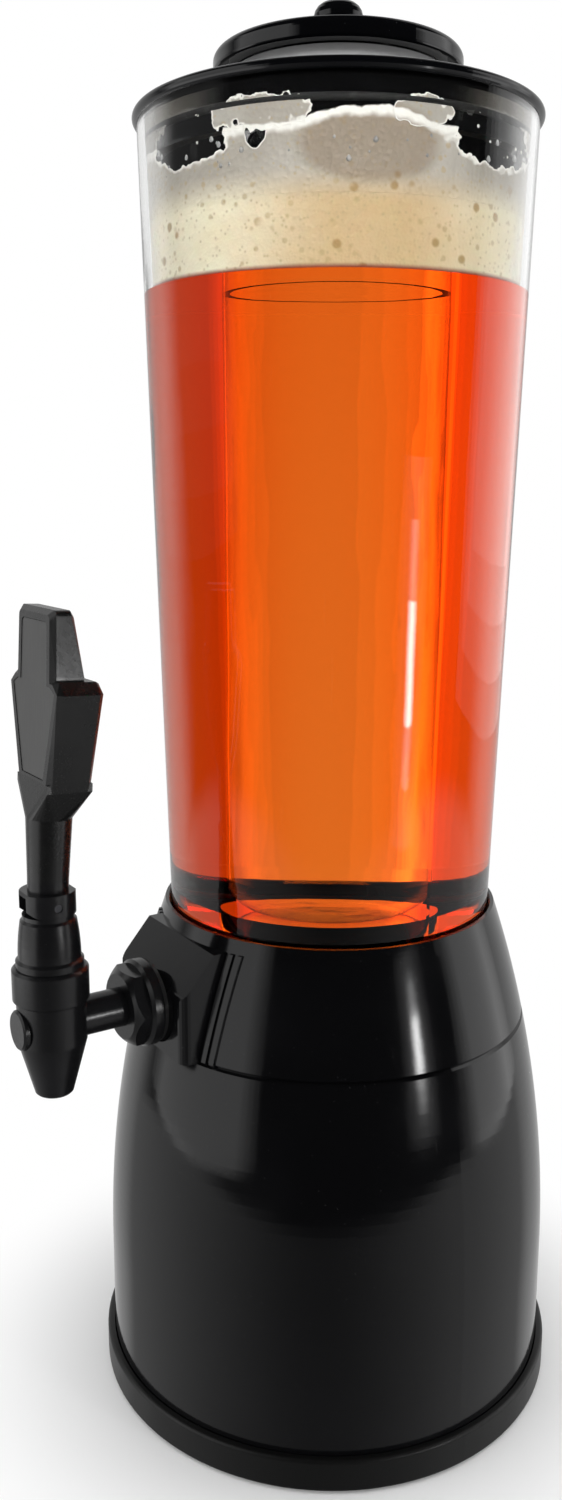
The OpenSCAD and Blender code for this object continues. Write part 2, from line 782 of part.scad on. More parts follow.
module valve_cup() {
    nose = 0.8;
    color("#77736b") upright() difference() {
        translate([0, 0, seat_z]) rotate_extrude() polygon([
            [0, 0], [valve_r, 0], [valve_r, valve_lip_h], [valve_r - nose, valve_lip_h + nose],
            [valve_r - nose, valve_h - nose], [valve_r - 2 * nose, valve_h], [0, valve_h]]);
        translate([0, 0, valve_top - stem_socket_h])
            cylinder(r = stem_r + run, h = stem_socket_h + 1);
    }
}

module stem() {
    stem_foot = valve_top - stem_socket_h;
    color("#b4b7ba") upright() difference() {
        union() {
            translate([0, 0, stem_foot]) cylinder(r = stem_r, h = pivot_z - stem_foot);
            translate([0, 0, valve_top]) cylinder(r = spring_collar_r, h = spring_collar_t);
            translate([-eye_w / 2, 0, pivot_z]) rotate([0, 90, 0]) cylinder(r = eye_r, h = eye_w);
        }
        // Flats beside the eye
        for (side = [-1, 1]) translate([side > 0 ? eye_w / 2 : -eye_w / 2 - stem_r, -eye_r, washer_z])
            cube([stem_r, 2 * eye_r, pivot_h + e]);
        translate([-eye_w, 0, pivot_z]) rotate([0, 90, 0]) cylinder(r = pin_r + run, h = 2 * eye_w);
    }
}

// Compression spring as one unbroken tube along a helix, with closed end turns
module spring() {
    sides = 6;
    per_turn = 10;
    rings = spring_turns * per_turn;
    low = spring_foot + wire_r;
    high = spring_head - wire_r;
    points = [for (i = [0:rings], k = [0:sides - 1])
        let (a = i * 360 / per_turn, b = k * 360 / sides,
            t = i / rings, z = low + (high - low) * t,
            r = spring_r + wire_r * cos(b))
        [r * cos(a), r * sin(a), z + wire_r * sin(b)]];
    walls = [for (i = [0:rings - 1], k = [0:sides - 1])
        let (n = (k + 1) % sides, p = i * sides, q = p + sides) each
        [[p + k, q + k, q + n], [p + k, q + n, p + n]]];
    ends = [[for (k = [0:sides - 1]) k], [for (k = [sides - 1:-1:0]) rings * sides + k]];
    color("#c6c9cc") upright() polyhedron(points = points, faces = concat(walls, ends));
}

module stem_seal() {
    color("#2a2a2a") upright()
        seal_ring(gland_z + gland_h / 2, stem_r + seal_slack + stem_seal_r, stem_seal_r);
}

module bonnet() {
    edge = 0.8;
    color("#171718") upright() difference() {
        rotate_extrude() polygon(concat(
            [[0, bonnet_z - bonnet_plug_h], [chamber_r - run, bonnet_z - bonnet_plug_h],
                [chamber_r - run, bonnet_z], [bonnet_r, bonnet_z],
                [bonnet_r, bonnet_z + bonnet_band_h - edge], [bonnet_r - edge, bonnet_z + bonnet_band_h]],
            [for (i = [1:edge_steps]) let (t = i / edge_steps)
                [bonnet_r - edge - (bonnet_r - edge - bonnet_top_r - edge) * t * t,
                    bonnet_z + bonnet_band_h + (bonnet_h - bonnet_band_h - edge) * t]],
            [[bonnet_top_r, bonnet_top], [0, bonnet_top]]));
        translate([0, 0, bonnet_z - bonnet_plug_h - 1])
            cylinder(r = bonnet_cave_r, h = spring_head - bonnet_z + bonnet_plug_h + 1);
        cylinder(r = stem_r + run, h = bonnet_top + 1);
        translate([0, 0, gland_z]) cylinder(r = gland_r, h = gland_h);
    }
}

module heel_washer() {
    color("#1c1c1d") upright() difference() {
        translate([0, 0, bonnet_top]) cylinder(r = washer_r, h = washer_t);
        translate([0, 0, bonnet_top - 1]) cylinder(r = stem_r + loose, h = washer_t + 2);
    }
}

// ---- Handle ----

// Everything on the handle is drawn about its pivot pin
module at_pivot() {
    translate([0, -tap_y, pivot_z]) children();
}

module lean() {
    rotate([-handle_lean, 0, 0]) children();
}

// Heel with its cam: the face under the front of the pin is an involute, so
// that each degree of tilt lifts the pin and the stem by the same amount.
module lever_cam() {
    last = cam_point(open_tilt);
    // Flat that the open handle rests on, run out to the heel's front
    reach = (heel_r + last[0]) / cos(open_tilt);
    color("#1a1a1b") at_pivot() difference() {
        union() {
            intersection() {
                translate([0, 0, -pivot_h]) cylinder(r = heel_r, h = pivot_h + heel_top);
                translate([-heel_r - 1, 0, 0]) rotate([90, 0, 90])
                    linear_extrude(2 * heel_r + 2) polygon(concat(
                        [[heel_r, heel_top - heel_edge], [heel_r, heel_edge - cam_h],
                            [heel_r - heel_edge, -cam_h]],
                        [for (i = [0:2 * edge_steps]) cam_point(open_tilt * i / (2 * edge_steps))],
                        [last + reach * [-cos(open_tilt), sin(open_tilt)],
                            [-heel_r, heel_top - heel_edge], [heel_edge - heel_r, heel_top],
                            [heel_r - heel_edge, heel_top]]));
            }
            lean() cylinder(r = grip_foot_r, h = grip_z);
            lean() cylinder(r = stud_r, h = grip_z + stud_len);
        }
        translate([-slot_w / 2, -heel_r - 1, -pivot_h - 1])
            cube([slot_w, 2 * heel_r + 2, pivot_h + 1 + slot_top]);
        translate([-heel_r - 1, 0, 0]) rotate([0, 90, 0])
            cylinder(r = pin_r + run, h = 2 * heel_r + 2);
    }
}

module pivot_pin() {
    half = sqrt(heel_r * heel_r - pin_r * pin_r) - loose;
    color("#2b2b2d") at_pivot() translate([-half, 0, 0]) rotate([0, 90, 0])
        cylinder(r = pin_r, h = 2 * half);
}

// Outline of the paddle below the shoulders, as seen from the front
function paddle_corners(inset) =
    let (foot = paddle_foot_w / 2 - inset, side = paddle_w / 2 - inset,
        step = paddle_w / 2 - shoulder_drop - inset)
    [[-foot, paddle_z + inset], [foot, paddle_z + inset],
        [side, shoulder_z - shoulder_drop], [step, shoulder_z - inset / 2],
        [-step, shoulder_z - inset / 2], [-side, shoulder_z - shoulder_drop]];
function crown_corners(inset) =
    let (side = crown_w / 2 - inset, top = handle_len - inset)
    concat([[-side, shoulder_z - shoulder_drop], [side, shoulder_z - shoulder_drop]],
        arc(side - corner_r - crown_draft, top - corner_r, corner_r, 0, 90, edge_steps),
        arc(corner_r + crown_draft - side, top - corner_r, corner_r, 90, 180, edge_steps));

// A thin upright plate with a given outline at a distance behind the front face
module plate_at(y, thickness, points) {
    translate([0, y - paddle_front + thickness, 0]) rotate([90, 0, 0])
        linear_extrude(thickness) polygon(points);
}

module handle() {
    color("#141415") at_pivot() lean() difference() {
        union() {
            translate([0, 0, grip_z])
                cylinder(r1 = grip_foot_r, r2 = grip_top_r, h = grip_len - grip_z);
            hull() {
                translate([0, 0, grip_len - slab]) cylinder(r = grip_top_r, h = slab, $fn = 32);
                translate([-paddle_foot_w / 2, -paddle_front, paddle_z])
                    cube([paddle_foot_w, paddle_t, paddle_edge + 1]);
            }
            hull() {
                plate_at(0, slab, paddle_corners(paddle_edge));
                plate_at(paddle_edge, paddle_t - 2 * paddle_edge, paddle_corners(0));
                plate_at(paddle_t - slab, slab, paddle_corners(paddle_edge));
            }
            hull() {
                plate_at(0, slab, crown_corners(paddle_edge));
                plate_at(paddle_edge, crown_t - 2 * paddle_edge, crown_corners(0));
                plate_at(crown_t - slab, slab, crown_corners(paddle_edge));
                plate_at(paddle_edge, crown_t + 1, [[-crown_w / 2, shoulder_z - crown_sink],
                    [crown_w / 2, shoulder_z - crown_sink], [crown_w / 2, shoulder_z + 1],
                    [-crown_w / 2, shoulder_z + 1]]);
            }
        }
        cylinder(r = stud_r + run, h = grip_z + stud_len + stud_end_gap);
        plate_at(-1, panel_depth + 1, paddle_corners(paddle_edge + border_w));
        plate_at(-1, panel_depth + 1, crown_corners(paddle_edge + border_w));
    }
}

module handle_panel() {
    fit = paddle_edge + border_w + loose / 2;
    color("#6f6f70") at_pivot() lean() union() {
        plate_at(panel_depth - panel_t, panel_t, paddle_corners(fit));
        plate_at(panel_depth - panel_t, panel_t, crown_corners(fit));
    }
}

base_mat();
base_plate();
base_screws();
skirt();
reservoir_screws();
upper_shell();
reservoir();
tank();
tank_seal();
lid();
lid_seal();
ice_tube();
ice_tube_seal();
ice_cap();
tap_body();
end_plug();
outer_gasket();
shank_nut();
inner_gasket();
lock_nut();
valve_cup();
stem();
spring();
stem_seal();
bonnet();
heel_washer();
lever_cam();
pivot_pin();
handle();
handle_panel();
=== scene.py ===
"""Looks of a table-top beer tower: black bell base, clear tank of beer, black lid, ice tube and lever tap."""
import json
import math
import random

import bpy
from mathutils import Matrix, Vector, noise

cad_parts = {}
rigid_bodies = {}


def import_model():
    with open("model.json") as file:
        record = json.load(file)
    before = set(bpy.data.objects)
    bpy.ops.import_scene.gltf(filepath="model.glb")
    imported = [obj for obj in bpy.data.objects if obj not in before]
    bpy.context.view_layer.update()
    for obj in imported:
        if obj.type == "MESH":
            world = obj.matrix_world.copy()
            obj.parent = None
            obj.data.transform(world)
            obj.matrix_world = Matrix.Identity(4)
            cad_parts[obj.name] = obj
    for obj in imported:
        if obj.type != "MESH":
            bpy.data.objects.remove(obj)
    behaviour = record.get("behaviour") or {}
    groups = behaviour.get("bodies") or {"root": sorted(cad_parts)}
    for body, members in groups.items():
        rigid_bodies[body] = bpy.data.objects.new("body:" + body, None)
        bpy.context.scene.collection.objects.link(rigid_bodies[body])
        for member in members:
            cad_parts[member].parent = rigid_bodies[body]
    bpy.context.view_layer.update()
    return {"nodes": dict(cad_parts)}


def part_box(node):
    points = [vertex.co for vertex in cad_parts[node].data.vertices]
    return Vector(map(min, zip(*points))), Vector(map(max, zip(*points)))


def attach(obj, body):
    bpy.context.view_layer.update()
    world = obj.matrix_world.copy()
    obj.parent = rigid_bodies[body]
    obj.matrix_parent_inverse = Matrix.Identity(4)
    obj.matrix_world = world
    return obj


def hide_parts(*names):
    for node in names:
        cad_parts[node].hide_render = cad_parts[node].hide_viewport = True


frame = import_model()
nodes = frame["nodes"]

# ---- Camera, from the round edges of the tower in the photograph: degrees and metres ----

VIEW_AZIMUTH = 55.0
VIEW_PITCH = 12.0
VIEW_YAW = 2.273
VIEW_ROLL = 0.162
VIEW_DISTANCE = 0.42188
VIEW_HEIGHT = 0.31193
LENS_MM = 30.47
SENSOR_MM = 36.0
CLIP_START = 0.01

# ---- Sizes of the tank and the ice tube, in metres ----

RIM_Z = 0.172
TANK_FOOT_R = 0.0544
TANK_TOP_R = 0.0614
TANK_TOP_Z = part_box("tank")[1].z
TANK_WALL = 0.0026
SPIGOT_IN_R = 0.0507
SPIGOT_BLEND_Z = 0.178
SPIGOT_LOW_Z = 0.1612
PLUG_LOW_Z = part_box("lid")[0].z
TUBE_FOOT_R = 0.0256
TUBE_TOP_R = 0.027
TUBE_FOOT_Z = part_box("ice_tube")[0].z
TUBE_TOP_Z = 0.4214
TUBE_ROUND = 0.009
TUBE_WALL = 0.002
NECK_R = 0.033
NECK_IN_R = 0.0304
NECK_TOP_Z = 0.432
NECK_FLOOR_Z = 0.424
MOUTH_R = 0.025

# ---- Sizes of the pieces made here ----

# Height of the drink in the tank, of the foam on it, and of the melted ice's water in the ice tube
BEER_Z = 0.3684
FOAM_Z = 0.3885
MELT_Z = BEER_Z
# Air trapped under the ice tube, which mirrors the drink above it: how far it lies
# below the tube, and how much wider it is at its foot
POCKET_R = 0.027
POCKET_Z = TUBE_FOOT_Z - 0.0008
POCKET_FLARE = 0.001
# How far the drink reaches into the clear walls, so that no air shows between
WETTING = 0.0002
# Air between the foam or the film and the clear walls, and between the foam and the drink
FOAM_GAP = 0.00035
FILM_GAP = 0.00025
FOAM_LIFT = 0.00005
# How much the foam's top rolls, how far it climbs at the walls, and the rolls' two
# scales per metre
FOAM_ROLL = 0.0016
FOAM_CLIMB = 0.0022
FOAM_ROLLS = (140.0, 420.0)
FOAM_RINGS = 9
# The film starts just under the foam's top and ends just under the tank's
FILM_LOW_Z = FOAM_Z - 0.001
FILM_HIGH_Z = TANK_TOP_Z - 0.0012
# Thickness of the film and of the mist, and the mist's distance from the neck and its ends
SLEEVE_T = 0.00012
MIST_GAP = 0.00016
MIST_END = 0.0003

# Sides of a round body, steps of the ice tube's rounded foot, and the sharpest smooth edge
SIDES = 128
FOOT_STEPS = 6
SMOOTH_ANGLE = math.radians(35)


def turned(azimuth, radius, z):
    """Point at an azimuth round the tower, counted from -Y towards +X."""
    angle = math.radians(azimuth)
    return Vector((radius * math.sin(angle), -radius * math.cos(angle), z))


def tank_in(z):
    """Inner radius of the tank at a height."""
    return TANK_FOOT_R + (TANK_TOP_R - TANK_FOOT_R) * (z - RIM_Z) / (TANK_TOP_Z - RIM_Z) - TANK_WALL


def tube_out(z):
    """Outer radius of the ice tube at a height."""
    low = TUBE_FOOT_Z + TUBE_ROUND
    return TUBE_FOOT_R + (TUBE_TOP_R - TUBE_FOOT_R) * (z - low) / (TUBE_TOP_Z - low)


def add_camera():
    """Camera at the photograph's place and angle."""
    data = bpy.data.cameras.new("photo_camera")
    data.lens = LENS_MM
    data.sensor_width = SENSOR_MM
    data.clip_start = CLIP_START
    camera = bpy.data.objects.new("photo_camera", data)
    bpy.context.scene.collection.objects.link(camera)
    turn = (Matrix.Rotation(math.radians(VIEW_AZIMUTH + VIEW_YAW), 4, "Z")
            @ Matrix.Rotation(math.radians(90 - VIEW_PITCH), 4, "X")
            @ Matrix.Rotation(math.radians(VIEW_ROLL), 4, "Z"))
    camera.matrix_world = Matrix.Translation(turned(VIEW_AZIMUTH, VIEW_DISTANCE, VIEW_HEIGHT)) @ turn
    bpy.context.scene.camera = camera


# ---- Shader maths ----


class Value:
    """A socket that puts out a number, used in plain expressions."""

    def __init__(self, graph, socket):
        self.graph = graph
        self.socket = socket

    def __add__(self, other):
        return self.graph.math("ADD", self, other)

    def __sub__(self, other):
        return self.graph.math("SUBTRACT", self, other)

    def __rsub__(self, other):
        return self.graph.math("SUBTRACT", other, self)

    def __mul__(self, other):
        return self.graph.math("MULTIPLY", self, other)

    def __gt__(self, other):
        return self.graph.math("GREATER_THAN", self, other)

    def __lt__(self, other):
        return self.graph.math("LESS_THAN", self, other)

    def __abs__(self):
        return self.graph.math("ABSOLUTE", self)

    __radd__ = __add__
    __rmul__ = __mul__


class Graph:
    """Node tree of one material, or of the world."""

    def __init__(self, tree):
        self.tree = tree

    def node(self, kind, settings=None, inputs=None, out=0):
        """Any node: its settings first, then a number, a colour or a link for each socket."""
        made = self.tree.nodes.new(kind)
        for name, value in (settings or {}).items():
            setattr(made, name, value)
        for key, value in (inputs or {}).items():
            self.feed(made.inputs[key], value)
        return Value(self, made.outputs[out])

    def feed(self, socket, value):
        if isinstance(value, Value):
            self.tree.links.new(value.socket, socket)
        else:
            socket.default_value = value

    def math(self, operation, a, b=0.0):
        return self.node("ShaderNodeMath", {"operation": operation}, {0: a, 1: b})

    def most(self, a, b):
        return self.math("MAXIMUM", a, b)

    def ease(self, value, low, high):
        """0 at low and 1 at high, with a smooth step between; high may be the lower number."""
        return self.node("ShaderNodeMapRange", {"interpolation_type": "SMOOTHSTEP"},
                         {"Value": value, "From Min": low, "From Max": high})

    def blend(self, factor, a, b):
        """Colour a where factor is 0, and b where it is 1."""
        return self.node("ShaderNodeMix", {"data_type": "RGBA"}, {0: factor, 6: a, 7: b}, out=2)

    def place(self, stretch=(1.0, 1.0, 1.0)):
        """Place on the object in metres; a small stretch draws a pattern out along that axis."""
        spot = self.node("ShaderNodeTexCoord", out="Object")
        return self.node("ShaderNodeMapping", {}, {"Vector": spot, "Scale": stretch})

    def axes(self, place):
        split = self.node("ShaderNodeSeparateXYZ", {}, {0: place}).socket.node
        return [Value(self, out) for out in split.outputs]

    def cloud(self, place, scale, detail=3.0):
        """Soft noise from 0 to 1, with scale patches per metre and detail finer layers on them."""
        return self.node("ShaderNodeTexNoise", {}, {"Vector": place, "Scale": scale, "Detail": detail})

    def cells(self, place, scale):
        """How far the nearest of scattered dots is, 0 on a dot, with scale dots per metre."""
        return self.node("ShaderNodeTexVoronoi", {}, {"Vector": place, "Scale": scale}, out="Distance")


class Paint(Graph):
    """A material on one Principled shader."""

    def __init__(self, name, roughness, **constants):
        self.material = bpy.data.materials.new(name)
        self.material.use_nodes = True
        super().__init__(self.material.node_tree)
        self.shader = self.tree.nodes["Principled BSDF"]
        self.output = self.tree.nodes["Material Output"]
        self.set("Roughness", roughness)
        for socket, value in constants.items():
            self.set(socket.replace("_", " "), value)

    def set(self, socket, value):
        self.feed(self.shader.inputs[socket], value)

    def bump(self, height, depth):
        """Relief of the surface: height is a pattern, depth its height in metres where it is 1."""
        self.set("Normal", self.node("ShaderNodeBump", {},
                                     {"Height": height, "Distance": depth, "Strength": 1.0}))


def grey(level):
    return (level, level, level, 1.0)


def shade(colour, share):
    """The colour made paler or darker by a share."""
    return tuple(min(c * share, 1.0) for c in colour[:3]) + (1.0,)


# ---- Materials of the moulded, rubber and metal pieces ----


def gloss_black(name, colour, roughness=0.09):
    """High-gloss moulding: soft smudges, hair scratches, dust and a little orange peel."""
    paint = Paint(name, roughness)
    spot = paint.place()
    smudge = paint.ease(paint.cloud(spot, 22.0, 4.0), 0.42, 0.75)
    hair = paint.ease(paint.cloud(paint.place((1.0, 1.0, 0.02)), 900.0, 1.0), 0.68, 0.8)
    dust = paint.cells(spot, 420.0) < 0.045
    paint.set("Roughness", roughness + 0.05 * smudge + 0.08 * hair)
    smudged = paint.blend(smudge, colour, shade(colour, 1.6))
    paint.set("Base Color", paint.blend(dust, smudged, grey(0.05)))
    paint.bump(paint.cloud(spot, 260.0, 2.0) + 0.4 * hair, 0.00001)
    return paint.material


def satin_black(name, colour, roughness, grain=1500.0, depth=0.00003):
    """Moulding with a fine grain, paler where hands or cloths rub it."""
    paint = Paint(name, roughness)
    spot = paint.place()
    rub = paint.ease(paint.cloud(spot, 45.0, 4.0), 0.45, 0.75)
    pits = paint.cloud(spot, grain, 2.0)
    paint.set("Base Color", paint.blend(rub, colour, shade(colour, 1.9)))
    paint.set("Roughness", roughness + 0.1 * pits - 0.08 * rub)
    paint.bump(pits, depth)
    return paint.material


def rubber(name):
    """Matt rubber with pale dust on it."""
    paint = Paint(name, 0.78)
    spot = paint.place()
    dust = paint.ease(paint.cloud(spot, 320.0, 5.0), 0.5, 0.8)
    paint.set("Base Color", paint.blend(dust, grey(0.014), grey(0.045)))
    paint.bump(paint.cloud(spot, 2200.0, 2.0), 0.00006)
    return paint.material


def silicone(name):
    """Milky silicone, uneven in how much light it lets in."""
    paint = Paint(name, 0.42, Subsurface_Weight=0.2, Subsurface_Scale=0.002)
    haze = paint.cloud(paint.place(), 120.0, 3.0)
    paint.set("Base Color", paint.blend(haze, (0.42, 0.4, 0.35, 1), (0.56, 0.54, 0.49, 1)))
    paint.bump(haze, 0.00005)
    return paint.material


def nylon(name):
    """Natural nylon with flow marks and a fine grain."""
    paint = Paint(name, 0.5)
    spot = paint.place()
    flow = paint.cloud(spot, 90.0, 3.0)
    paint.set("Base Color", paint.blend(flow, (0.52, 0.5, 0.43, 1), (0.66, 0.64, 0.57, 1)))
    paint.set("Roughness", 0.42 + 0.16 * flow)
    paint.bump(paint.cloud(spot, 1800.0, 1.0), 0.00004)
    return paint.material


def steel(name, colour, roughness=0.24):
    """Turned steel with fine rings and a few duller spots."""
    paint = Paint(name, roughness, Metallic=1.0)
    rings = paint.cloud(paint.place((0.05, 0.05, 1.0)), 2600.0, 2.0)
    spots = paint.ease(paint.cloud(paint.place(), 400.0, 4.0), 0.55, 0.75)
    paint.set("Base Color", paint.blend(spots, colour, shade(colour, 0.6)))
    paint.set("Roughness", roughness + 0.15 * rings + 0.15 * spots)
    paint.bump(rings, 0.00001)
    return paint.material


def panel_grey(name):
    """Bare satin panel with a fine brushed grain."""
    paint = Paint(name, 0.42)
    brush = paint.cloud(paint.place((1.0, 1.0, 0.03)), 2400.0, 2.0)
    patch = paint.cloud(paint.place(), 60.0, 3.0)
    paint.set("Base Color", paint.blend(0.5 * brush + 0.5 * patch, grey(0.035), (0.06, 0.06, 0.058, 1)))
    paint.set("Roughness", 0.34 + 0.2 * brush)
    paint.bump(brush, 0.00002)
    return paint.material


# ---- Materials of the clear pieces, the drink and its foam ----

# How strongly each bends light; the filled ice tube counts as nearly all water
TANK_IOR = 1.49
FILLED_TUBE_IOR = 1.347
DRINK_IOR = 1.34
WATER_IOR = 1.33

def clear_plastic(name, tint, waves, ior):
    """Clear polished moulding with hair scratches and so many slight waves per metre."""
    paint = Paint(name, 0.0, Base_Color=tint, Transmission_Weight=1.0, IOR=ior)
    sway = paint.cloud(paint.place((1.0, 1.0, 0.25)), waves, 2.0)
    hair = paint.ease(paint.cloud(paint.place((1.0, 1.0, 0.03)), 700.0, 1.0), 0.7, 0.82)
    paint.set("Roughness", 0.08 * hair)
    paint.bump(sway, 0.0004)
    return paint.material


# Colour that the drink lets through, and how strongly it takes the rest out of light
DRINK_COLOUR = (0.982, 0.665, 0.2, 1)
DRINK_DENSITY = 95.0


def beer_liquid(name):
    """Clear amber drink; its colour comes from how far light travels in it."""
    paint = Paint(name, 0.0, Base_Color=grey(1.0), Transmission_Weight=1.0, IOR=DRINK_IOR,
                  Specular_Tint=grey(0.0))
    depth = paint.node("ShaderNodeVolumeAbsorption", {}, {"Color": DRINK_COLOUR, "Density": DRINK_DENSITY})
    paint.feed(paint.output.inputs["Volume"], depth)
    return paint.material


def wall_place(paint, place):
    """Where a point is: degrees round the tower from the photographed side, and height."""
    x, y, z = paint.axes(place)
    east = math.radians(VIEW_AZIMUTH)
    aside = x * math.cos(east) + y * math.sin(east)
    ahead = x * math.sin(east) - y * math.cos(east)
    return paint.math("ARCTAN2", aside, ahead) * math.degrees(1.0), z


# Heights between which the foam's cream turns into the film's grey
GREYING_LOW_Z = FOAM_Z - 0.004
GREYING_HIGH_Z = FOAM_Z + 0.007
# Height of the stain that the drink leaves on the foam
STAIN_H = 0.0016
# Middle of the brown arch of film below the lid, in degrees from the photographed
# side; the foam below it is tanned, fully within the first number of degrees of it
# and not at all past the second
ARCH_AZIMUTH = 9.0
TAN_FULL, TAN_END = 8.0, 46.0
# Colours of the fresh foam and of the dried film, each from one tone to another,
# and of what marks them
CREAM = ((0.96, 0.88, 0.67, 1), (0.9, 0.8, 0.56, 1))
DRIED = ((0.46, 0.42, 0.36, 1), (0.55, 0.52, 0.46, 1))
TANNED = (0.62, 0.42, 0.2, 1)
FINE_BUBBLE = (0.5, 0.38, 0.2, 1)
MIDDLING_BUBBLE = (0.5, 0.36, 0.17, 1)
LARGE_BUBBLE = (0.4, 0.24, 0.07, 1)
STAIN = (0.3, 0.035, 0.01, 1)
ARCH_BROWN = (0.27, 0.185, 0.11, 1)
# White of the foam beads at the film's edges, with a painted highlight on it
FOAM_WHITE_AND_HIGHLIGHT = (1.0, 0.98, 0.92, 1)


def foam_colour(paint, spot, azimuth, height):
    """Cream, tanned in the middle and greyer higher up, with fine bubbles and a few large brown ones."""
    drift = paint.ease(paint.cloud(spot, 48.0, 4.0), 0.35, 0.7)
    cream = paint.blend(drift, *CREAM)
    dried = paint.blend(drift, *DRIED)
    tanned = paint.ease(abs(azimuth - ARCH_AZIMUTH), TAN_END, TAN_FULL)
    cream = paint.blend(0.85 * tanned, cream, TANNED)
    body = paint.blend(paint.ease(height, GREYING_LOW_Z, GREYING_HIGH_Z), cream, dried)
    fine = paint.ease(paint.cells(spot, 560.0), 0.32, 0.08)
    body = paint.blend(0.55 * fine, body, FINE_BUBBLE)
    crowd = paint.ease(paint.cloud(spot, 60.0, 2.0), 0.36, 0.52)
    middling = paint.ease(paint.cells(spot, 250.0), 0.27, 0.12) * crowd
    body = paint.blend(0.55 * middling, body, MIDDLING_BUBBLE)
    patch = paint.ease(paint.cloud(spot, 38.0, 1.0), 0.42, 0.52)
    large = paint.ease(paint.cells(spot, 115.0), 0.19, 0.09) * patch
    return paint.blend(0.75 * large, body, LARGE_BUBBLE)


def foam_head(name):
    """Fine cream foam, stained by the drink where it lies on it."""
    paint = Paint(name, 0.62, Subsurface_Weight=0.15, Subsurface_Scale=0.003)
    spot = paint.place()
    azimuth, height = wall_place(paint, spot)
    stain = paint.ease(height, BEER_Z + STAIN_H, BEER_Z)
    foam = foam_colour(paint, spot, azimuth, height)
    paint.set("Base Color", paint.blend(stain, foam, STAIN))
    paint.bump(0.4 * paint.cells(spot, 1100.0) + paint.cells(spot, 330.0), 0.0002)
    return paint.material


# Patches of the wall: azimuth of the middle from the photographed side and half
# width, in degrees, then height of the middle and half height, in metres. Drips
# have washed the film off the first, blobs of foam are left on the second, and
# the last is the brown arch.
WASHED = [
    (-45, 13, 0.4045, 0.0062), (-22, 2.6, 0.4035, 0.0034), (50, 16, 0.4045, 0.0062),
    (98, 10, 0.402, 0.005), (128, 14, 0.4045, 0.006), (165, 6, 0.401, 0.004),
    (-78, 7, 0.402, 0.005), (-112, 16, 0.404, 0.006), (-150, 9, 0.4025, 0.005),
]
BLOBS = [
    (-21, 12, 0.4085, 0.0036), (23, 7, 0.4085, 0.003), (75, 9, 0.4075, 0.003),
    (112, 5, 0.408, 0.003), (150, 12, 0.4075, 0.0034), (-92, 8, 0.4078, 0.003),
    (-135, 10, 0.4083, 0.003),
]
ARCH = (ARCH_AZIMUTH, 22, 0.4, 0.0115)

# The film fades out between these heights over the plug's lower edge, in a wave,
# and reaches higher over the arch; below its edge it has a white crest, a foam
# bead with a painted highlight
FILM_FULL_H = 0.0003
FILM_END_H = 0.0009
FILM_WAVE = 0.0012
ARCH_RISE = 0.0034
ARCH_FULL, ARCH_END = 6.0, 22.0
CREST_LOW_H = -0.0026
CREST_FULL_H = -0.0006
# Above its edge the wall is fogged beside and behind the photographed front: the
# fog starts and is full this many degrees from it
FOG_FROM, FOG_FULL = 30.0, 78.0


def around(paint, places, azimuth, z, scallop):
    """Above 0 inside any of the given patches of the wall; scallop moves their edges."""
    inside = None
    for middle, half, level, half_height in places:
        across = (azimuth - middle) * (1.0 / half)
        up = (z - level) * (1.0 / half_height)
        near = 1.0 + scallop - (across * across + up * up)
        inside = near if inside is None else paint.most(inside, near)
    return inside


def wall_film(name):
    """Dried foam on the wall above the drink; washed places edged in white foam with a painted highlight, and
    painted glints of drops in them.
    """
    paint = Paint(name, 0.5)
    spot = paint.place()
    azimuth, z = wall_place(paint, spot)
    scallop = paint.cloud(spot, 230.0, 2.0) * 1.5 - 0.75 + 0.5 * paint.cells(spot, 420.0)
    clear = around(paint, WASHED, azimuth, z, scallop)
    blob = around(paint, BLOBS, azimuth, z, 2.2 * scallop)
    hole = paint.ease(clear, 0.0, 0.05)
    lump = paint.ease(blob, 0.0, 0.08)
    # White edges of the washed places: foam beads with a painted highlight
    edge = paint.ease(clear, -0.5, -0.06) * (1.0 - hole) * (1.0 - lump)

    arch = paint.ease(abs(azimuth - ARCH_AZIMUTH), ARCH_END, ARCH_FULL)
    edge_height = z + FILM_WAVE * scallop - ARCH_RISE * arch
    above = paint.ease(edge_height, PLUG_LOW_Z + FILM_FULL_H, PLUG_LOW_Z + FILM_END_H)
    # White crest under the film's edge: a foam bead with a painted highlight
    crest = paint.ease(edge_height, PLUG_LOW_Z + CREST_LOW_H, PLUG_LOW_Z + CREST_FULL_H) * (1.0 - above)

    side = paint.ease(abs(azimuth), FOG_FROM, FOG_FULL)
    fog = side * (1.0 - hole) * (0.4 + 0.3 * paint.cloud(spot, 90.0, 3.0))
    # Painted glints of drops: opaque white dots in and by the washed places
    drop_glint = paint.ease(paint.cells(spot, 230.0), 0.13, 0.09) * paint.ease(clear, -0.5, 0.2)
    film = paint.most((1.0 - hole) * (1.0 - above), fog)
    cover = paint.most(film, paint.most(0.95 * lump, 0.9 * drop_glint))
    # White rims of the blobs: foam with a painted highlight
    rim = lump * paint.ease(blob, 0.55, 0.2)
    # All that is painted white: foam beads with their painted highlight, and painted glints of drops
    white = paint.most(paint.most(edge, drop_glint), paint.most(crest, rim))

    colour = foam_colour(paint, spot, azimuth, z)
    warm = paint.ease(around(paint, [ARCH], azimuth, z, 0.0), 0.0, 0.5)
    colour = paint.blend(0.6 * warm, colour, ARCH_BROWN)
    paint.set("Base Color", paint.blend(white, colour, FOAM_WHITE_AND_HIGHLIGHT))
    paint.set("Alpha", 0.97 * cover)
    paint.bump(0.6 * paint.cells(spot, 700.0) + 0.6 * edge + lump, 0.0003)
    return paint.material


